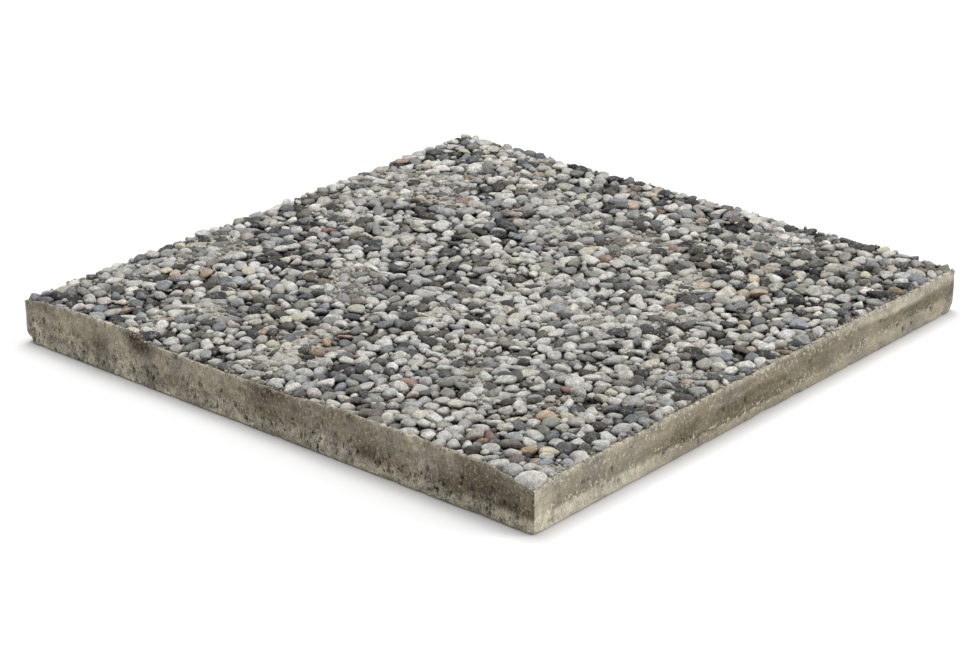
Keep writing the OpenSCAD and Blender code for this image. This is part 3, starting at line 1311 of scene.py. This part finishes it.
@dataclass
class StoneHeap:
    """Stones of one finish, gathered for joining."""

    points: list[Array] = field(default_factory=list)
    faces: list[Array] = field(default_factory=list)
    looks: list[tuple[Colour, float, float]] = field(default_factory=list)
    count: int = 0

    def add(self, points: Array, faces: Array, tint: Colour, seed: float, marks: float) -> None:
        """Adds one stone.

        Args:
            points: its vertices, in millimetres.
            faces: its faces.
            tint: its colour.
            seed: number that shifts its pattern.
            marks: strength of its flecks and veins.
        """
        self.points.append(points)
        self.faces.append(faces + self.count)
        self.looks.append((tint, seed, marks))
        self.count += len(points)

    def join(self, name: str, material: bpy.types.Material) -> bpy.types.Object:
        """Joins the stones into one piece.

        Args:
            name: name of the piece.
            material: its finish.

        Returns:
            The piece.
        """
        points = np.concatenate(self.points)
        piece = joined(name, points * MM, np.concatenate(self.faces))
        sizes = [len(stone) for stone in self.points]
        tints = np.repeat([(*tint, 1.0) for tint, _, _ in self.looks], sizes, axis=0)
        Bench.paint(piece, "stone_tint", tints)
        Bench.paint(piece, "stone_seed", np.repeat([seed for _, seed, _ in self.looks], sizes))
        Bench.paint(piece, "stone_marks", np.repeat([marks for _, _, marks in self.looks], sizes))
        # The inside mask keeps the painted crevice shade off the stones along the slab's sides
        Bench.paint(piece, "inside", eased(from_edge(points[:, 0], points[:, 1]), 2.5, 9.0))
        Bench.shade_smooth(piece)
        piece.data.materials.append(material)
        return piece


@dataclass
class PebbleFace:
    """The washed face: the mortar bed, the pebbles in it and the grit between them."""

    highest: float = 39.9
    seed: int = 36
    mortar: float = 32.3
    mortar_patch: float = 3.8
    mortar_rim: float = 33.5
    crown_sizes: tuple[float, float, float] = (4.4, 7.2, 9.4)
    large_share: float = 0.07
    smallest_crown: float = 3.6
    crown_share: float = 0.62
    crown_sink: float = 1.4
    fill_top: float = 35.2
    fill_slack: float = 1.12
    top_spread: float = 0.8
    fill_sizes: tuple[float, ...] = (5.4, 4.9, 4.4, 3.9, 3.4, 2.9, 2.4, 1.9)
    overlap: float = 0.8
    small: float = 3.7
    lean: tuple[float, float] = (0.13, 0.3)
    edge_top: float = 36.2
    edge_rise: float = 0.25
    stone_margin: float = 1.4
    dark_apart: float = 9.5
    pale_spot: tuple[float, float, float] = (-50.0, -50.0, 150.0)
    deep_spot: tuple[float, float, float] = (130.0, -130.0, 100.0)
    deepening: float = 0.6
    brightest: float = 0.6
    mould_sizes: tuple[float, float] = (2.5, 4.4)
    under: int = 700
    under_top: float = 34.6
    under_margin: float = 9.0
    grit: int = 8600
    grit_sizes: tuple[float, float, float] = (0.5, 1.4, 2.4)
    fine_share: float = 0.7
    grit_margin: float = 3.0
    grit_stand: float = 0.45
    crumbs: int = 900
    crumb_sizes: tuple[float, float] = (0.4, 1.2)
    crumb_margin: float = 0.4
    bed_spacing: float = 2.6
    bed_margin: float = 4.5
    bed_depth: float = 8.0
    bed_drop: float = 6.0
    sand: Colour = linear(168, 163, 152)

    def __post_init__(self) -> None:
        """Prepares the random numbers and the empty face."""
        self.rng = np.random.default_rng(self.seed)
        self.noise = SmoothNoise(self.seed + 1)
        self.gaps = GapMap(self.noise)
        self.stones: list[Stone] = []

    def mortar_height(self, x: Array, y: Array) -> Array:
        """Height of the mortar between the stones: low joints, and patches where it lies higher.

        Args:
            x: places along X.
            y: places along Y.

        Returns:
            The height at each place.
        """
        flat = np.column_stack([x, y, np.zeros(len(x))])
        patch = eased(self.noise.layered(flat + 400.0, 36.0, 3), -0.22, 0.48)
        lumps = 0.7 * self.noise.layered(flat + 200.0, 18.0, 2) + 0.7 * self.noise.layered(flat, 5.0, 2)
        rim = eased(from_edge(x, y), 12.0, 5.0)
        return (self.mortar + self.mortar_patch * patch + lumps) * (1 - rim) + self.mortar_rim * rim

    def pick_rock(self) -> tuple[Rock, Colour, float]:
        """Draws a kind of stone, its tint and the strength of its marks.

        Returns:
            The kind, the tint and the strength.
        """
        shares = np.array([finish.share for finish in ROCKS.values()])
        rock = list(ROCKS)[int(self.rng.choice(len(shares), p=shares / shares.sum()))]
        finish = ROCKS[rock]
        tint = np.array(finish.tints[int(self.rng.integers(len(finish.tints)))])
        tint = tint * (1 + self.rng.normal(0.0, finish.spread)) * (1 + self.rng.normal(0.0, 0.008, 3))
        return rock, tuple(np.clip(tint, *TINT_LIMITS)), float(self.rng.random())

    def beside_dark(self, x: float, y: float) -> bool:
        """Tells whether a dark stone lies close by.

        Args:
            x: a place along X.
            y: a place along Y.

        Returns:
            True when one does.
        """
        return any(math.hypot(stone.x - x, stone.y - y) < self.dark_apart
                   for stone in self.stones if stone.rock in DARK_ROCKS)

    @staticmethod
    def in_spot(x: float, y: float, spot: tuple[float, float, float]) -> float:
        """Strength of a soft round spot of the face at a place.

        Args:
            x: the place along X.
            y: the place along Y.
            spot: middle of the spot along X and Y, and its radius.

        Returns:
            A number from 0 to 1.
        """
        middle_x, middle_y, radius = spot
        return math.exp(-((x - middle_x) ** 2 + (y - middle_y) ** 2) / radius ** 2)

    def dusted(self, tint: Colour, x: float, y: float) -> Colour:
        """Dusts a tint where the face is pale, round its middle, and deepens it on the right.

        Args:
            tint: colour of a clean stone.
            x: place of the stone along X.
            y: place of the stone along Y.

        Returns:
            The colour at that place.
        """
        pale, deep = self.in_spot(x, y, self.pale_spot), self.in_spot(x, y, self.deep_spot)
        colour = np.array(tint)
        colour = colour * (1 + (pale - self.deepening * deep) * (1 - colour / self.brightest))
        return tuple(np.clip(colour * (1 + 0.02 * pale, 1.0, 1 - 0.05 * pale), *TINT_LIMITS))

    def put(self, x: float, y: float, top: float, short: float, stretch: float) -> None:
        """Sets one stone of a random kind.

        Args:
            x: its middle.
            y: its middle.
            top: height of its crown.
            short: half its width.
            stretch: its length over its width.
        """
        rock, tint, marks = self.pick_rock()
        if rock in DARK_ROCKS and self.beside_dark(x, y):
            rock, tint, marks = self.pick_rock()
        tint = self.dusted(tint, x, y)
        long = short * stretch
        angles = self.rng.uniform(0, math.pi, 6)
        lean = self.lean[0] if short > self.small else self.lean[1]
        top = min(top, self.highest, self.edge_top + self.edge_rise * float(from_edge(x, y)))
        stone = Stone(x, y, top, long, short, short * self.rng.uniform(0.5, 0.82),
                      self.gaps.best_turn(x, y, long, angles), rock, tint,
                      tuple(self.rng.normal(0.0, lean, 2)), marks)
        self.stones.append(stone)
        self.gaps.set_stone(stone)

    def set_front(self) -> None:
        """Sets the stones that mark the front and left corners."""
        for stone in FRONT_STONES + LEFT_STONES:
            self.stones.append(stone)
            self.gaps.set_stone(stone)

    def set_crowns(self, crowns: Array) -> None:
        """Sets the large stones on the crowns of the cast face.

        Args:
            crowns: rows of x, y, z of the crowns, in millimetres.
        """
        small, middling, large = self.crown_sizes
        for x, y, z in self.rng.permutation(crowns):
            apart = np.hypot(crowns[:, 0] - x, crowns[:, 1] - y)
            nearest = float(np.sort(apart)[1])
            sizes = (small, middling) if self.rng.random() > self.large_share else (middling, large)
            size = self.rng.uniform(*sizes)
            stretch = self.rng.uniform(1.05, 1.6)
            room = float(self.gaps.at(x, y))
            short = min(size / math.sqrt(stretch), room / self.overlap, nearest * self.crown_share)
            if short > self.smallest_crown:
                self.put(x, y, z - self.rng.uniform(0.0, self.crown_sink), short, stretch)

    def fill_gaps(self) -> None:
        """Fills what is left with ever smaller stones."""
        for size in self.fill_sizes:
            places = np.argwhere(self.gaps.room > self.overlap * size)
            for i, j in self.rng.permutation(places):
                room = self.gaps.room[i, j]
                if room <= self.overlap * size:
                    continue
                short = min(room / self.overlap, size * self.fill_slack)
                x, y = self.gaps.xs[i, j], self.gaps.ys[i, j]
                top = self.fill_top + 0.5 * short + self.rng.normal(0.0, self.top_spread)
                self.put(float(x), float(y), top, short, self.rng.uniform(1.0, 1.5))

    def set_under(self) -> None:
        """Sets stones deep in the mortar, of which only a little shows between the others."""
        places = np.argwhere((self.gaps.room > -1.5) & (self.gaps.room < 1.0))
        places = places[np.abs(places - self.gaps.half).max(axis=1) < HALF_SIDE - self.under_margin]
        for i, j in places[self.rng.choice(len(places), self.under, replace=False)]:
            short = self.rng.uniform(2.8, 5.0)
            top = self.under_top + self.rng.normal(0.0, self.top_spread)
            x, y = self.gaps.xs[i, j], self.gaps.ys[i, j]
            self.put(float(x), float(y), top, short, self.rng.uniform(1.0, 1.4))

    def build_stones(self) -> list[bpy.types.Object]:
        """Casts all stones, and joins those of a kind.

        Returns:
            One piece for each kind of stone.
        """
        moulds = [StoneMould(1), StoneMould(2), StoneMould(3)]
        shapes = [mould.model() for mould in moulds]
        heaps = {rock: StoneHeap() for rock in ROCKS}
        limit = HALF_SIDE - self.stone_margin
        for stone in self.stones:
            size = int(np.searchsorted(self.mould_sizes, stone.short))
            ball, quads = shapes[size]
            body = moulds[size].cast(ball, stone, self.rng)
            body[:, :2] = np.clip(body[:, :2], -limit, limit)
            heaps[stone.rock].add(body, quads, stone.tint, self.rng.random(), stone.marks)
        return [heap.join(f"pebbles_{rock.value}", ROCKS[rock].material(rock))
                for rock, heap in heaps.items()]

    def build_mortar(self) -> bpy.types.Object:
        """Shapes the mortar bed and gives it a floor.

        Returns:
            The bed, dressed.
        """
        width = 2 * (HALF_SIDE - self.bed_margin)
        count = int(width / self.bed_spacing)
        Bench.clear()
        bpy.ops.mesh.primitive_grid_add(x_subdivisions=count, y_subdivisions=count, size=width * MM)
        piece = Bench.start("mortar_bed")
        Bench.edit(piece, "EDGE")
        Bench.select_open_edges()
        bpy.ops.mesh.extrude_region_move(TRANSFORM_OT_translate={"value": (0, 0, -self.bed_drop * MM)})
        Bench.leave()
        Bench.close_rings(piece)
        points = Bench.points(piece) / MM
        upper = points[:, 2] > -self.bed_drop / 2
        heights = self.mortar_height(points[:, 0], points[:, 1])
        # The inside mask keeps the painted shade of the low mortar off the slab's sides
        Bench.paint(piece, "inside", eased(from_edge(points[:, 0], points[:, 1]), 5.0, 10.0))
        points[:, 2] = np.where(upper, heights, self.mortar - self.bed_depth)
        Bench.move_points(piece, points * MM)
        Bench.shade_smooth(piece)
        piece.data.materials.append(SandyMortar().material())
        return piece

    def build_grit(self, rim: Array) -> bpy.types.Object:
        """Strews grit over the mortar in the gaps, and crumbs of mortar along the rim.

        Args:
            rim: points on the rim, in millimetres.

        Returns:
            The grit, joined into one piece.
        """
        Bench.clear()
        bpy.ops.mesh.primitive_ico_sphere_add(subdivisions=1, radius=1.0)
        ball, faces = Bench.melt(Bench.start("grit_mould"))
        heap = StoneHeap()
        self.strew_grains(heap, ball, faces)
        self.strew_crumbs(heap, ball, faces, rim)
        return heap.join("washed_grit", ROCKS[Rock.SANDSTONE].material(Rock.SANDSTONE))

    def strew_grains(self, heap: StoneHeap, ball: Array, faces: Array) -> None:
        """Strews grains of all rocks over the mortar.

        Args:
            heap: heap that the grains go to.
            ball: vertices of the mould.
            faces: its faces.
        """
        places = np.argwhere(self.gaps.room > -0.6)
        places = places[self.rng.choice(len(places), min(self.grit, len(places)), replace=False)]
        shift = self.rng.uniform(-0.5, 0.5, (len(places), 2))
        x = self.gaps.xs[places[:, 0], places[:, 1]] + shift[:, 0]
        y = self.gaps.ys[places[:, 0], places[:, 1]] + shift[:, 1]
        ground = self.mortar_height(x, y)
        fine, middling, coarse = self.grit_sizes
        for number in np.flatnonzero(from_edge(x, y) > self.grit_margin):
            _, tint, marks = self.pick_rock()
            sizes = (fine, middling) if self.rng.random() < self.fine_share else (middling, coarse)
            size = self.rng.uniform(*sizes)
            tint = tuple(0.5 * np.array(tint) + 0.5 * np.array(self.sand))
            shape = ball * self.rng.uniform(0.7, 1.3, ball.shape) * size * self.rng.uniform(0.7, 1.2, 3)
            spot = (x[number], y[number], ground[number] + self.grit_stand * size)
            grain = np.minimum(shape + spot, (HALF_SIDE, HALF_SIDE, self.highest))
            heap.add(grain, faces, tint, self.rng.random(), marks)

    def strew_crumbs(self, heap: StoneHeap, ball: Array, faces: Array, rim: Array) -> None:
        """Strews crumbs of mortar along the rim.

        Args:
            heap: heap that the crumbs go to.
            ball: vertices of the mould.
            faces: its faces.
            rim: points on the rim, in millimetres.
        """
        side = HALF_SIDE - self.crumb_margin
        low, high = (-side, -side, 0.0), (side, side, self.highest)
        for spot in rim[self.rng.choice(len(rim), self.crumbs, replace=False)]:
            shape = ball * self.rng.uniform(0.7, 1.3, ball.shape) * self.rng.uniform(*self.crumb_sizes)
            tint = tuple(np.array(self.sand) * self.rng.uniform(0.75, 1.2))
            heap.add(np.clip(shape + spot, low, high), faces, tint, self.rng.random(), 0.2)


def crowns_of(node: bpy.types.Object, rise: float = 0.01) -> Array:
    """Finds the pebble crowns of the cast solid: the points that stand above all their neighbours.

    Args:
        node: the solid's object.
        rise: how far a crown stands above them, in millimetres.

    Returns:
        Rows of x, y, z, in millimetres.
    """
    points = np.round(Bench.points(node) / MM, 3)
    unique, index = np.unique(points, axis=0, return_inverse=True)
    edges = np.array([edge.vertices[:] for edge in node.data.edges])
    ends = index.reshape(-1)[edges]
    highest = np.full(len(unique), -np.inf)
    np.maximum.at(highest, ends[:, 0], unique[ends[:, 1], 2])
    np.maximum.at(highest, ends[:, 1], unique[ends[:, 0], 2])
    return unique[unique[:, 2] > highest + rise]


@dataclass
class Studio:
    """Pale floor, soft light from above and the camera at the photograph's angle."""

    eye: tuple[float, float, float] = (-1.437, -1.2565, 0.7945)
    look: tuple[float, float, float] = (0.6936, 0.6089, -0.3851)
    roll_deg: float = 0.48
    lens: float = 99.85
    sensor: float = 36.0
    floor_size: float = 80.0
    floor_drop: float = 0.3
    floor_tone: Colour = (0.9, 0.9, 0.9)
    sky: float = 0.38

    def build(self) -> bpy.types.Object:
        """Sets up the floor, the lights and the camera.

        Returns:
            The floor.
        """
        floor = self.lay_floor()
        self.light()
        self.aim()
        return floor

    def lay_floor(self) -> bpy.types.Object:
        """Lays a plain pale floor under the slab.

        Returns:
            The floor.
        """
        Bench.clear()
        bpy.ops.mesh.primitive_plane_add(size=self.floor_size, location=(0.0, 0.0, -self.floor_drop * MM))
        floor = Bench.start("studio_floor")
        sheet = ShaderSheet("pale_floor")
        floor.data.materials.append(sheet.surface(self.floor_tone, 0.9, None, 0.1))
        return floor

    def light(self) -> None:
        """Hangs a large soft light overhead, and a weaker one at the right."""
        world = bpy.data.worlds.new("studio_sky")
        world.use_nodes = True
        world.node_tree.nodes["Background"].inputs["Color"].default_value = (1.0, 1.0, 1.0, 1.0)
        world.node_tree.nodes["Background"].inputs["Strength"].default_value = self.sky
        bpy.context.scene.world = world
        bpy.context.scene.view_settings.view_transform = "Standard"
        self.softbox("overhead", (0.3, 0.5, 2.6), 1.7, 64.0)
        self.softbox("right_fill", (1.6, -2.2, 1.4), 1.6, 40.0)

    def softbox(self, name: str, place: tuple[float, float, float], size: float, power: float) -> None:
        """Hangs one square light that faces the slab.

        Args:
            name: name of the light.
            place: its place, in metres.
            size: its side, in metres.
            power: its power, in watts.
        """
        lamp = bpy.data.lights.new(name, "AREA")
        lamp.size = size
        lamp.energy = power
        holder = bpy.data.objects.new(name, lamp)
        holder.location = place
        holder.rotation_euler = (-Vector(place)).to_track_quat("-Z", "Y").to_euler()
        bpy.context.scene.collection.objects.link(holder)

    def aim(self) -> None:
        """Places the camera."""
        forward = Vector(self.look).normalized()
        level = forward.cross(Vector((0.0, 0.0, 1.0))).normalized()
        above = level.cross(forward)
        roll = math.radians(self.roll_deg)
        right = level * math.cos(roll) - above * math.sin(roll)
        up = right.cross(forward)
        camera = bpy.data.cameras.new("camera")
        camera.sensor_width = self.sensor
        camera.lens = self.lens
        holder = bpy.data.objects.new("camera", camera)
        turn = Matrix((right, up, -forward)).transposed().to_4x4()
        holder.matrix_world = Matrix.Translation(self.eye) @ turn
        bpy.context.scene.collection.objects.link(holder)
        bpy.context.scene.camera = holder


def fit(piece: bpy.types.Object) -> None:
    """Joins a piece to the slab's body, hides the slab's cast part and logs the piece's triangles.

    Args:
        piece: the piece.
    """
    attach(piece, BODY)
    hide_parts(NODE)
    triangles = sum(len(face.vertices) - 2 for face in piece.data.polygons)
    LOG.info("%s: %d triangles", piece.name, triangles)


def main() -> None:
    """Builds the slab and its studio."""
    logging.basicConfig(level=logging.INFO, format="%(name)s %(message)s")
    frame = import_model()
    crowns = crowns_of(frame["nodes"][NODE])
    LOG.info("crowns: %d", len(crowns))

    slab = SlabBody()
    body = slab.build()
    fit(body)
    face = PebbleFace()
    face.set_front()
    face.set_crowns(crowns)
    face.fill_gaps()
    face.set_under()
    LOG.info("stones: %d", len(face.stones))
    fit(face.build_mortar())
    for piece in face.build_stones():
        fit(piece)
    fit(face.build_grit(slab.rim_of(body)))
    Studio().build()


if __name__ == "__main__":
    main()
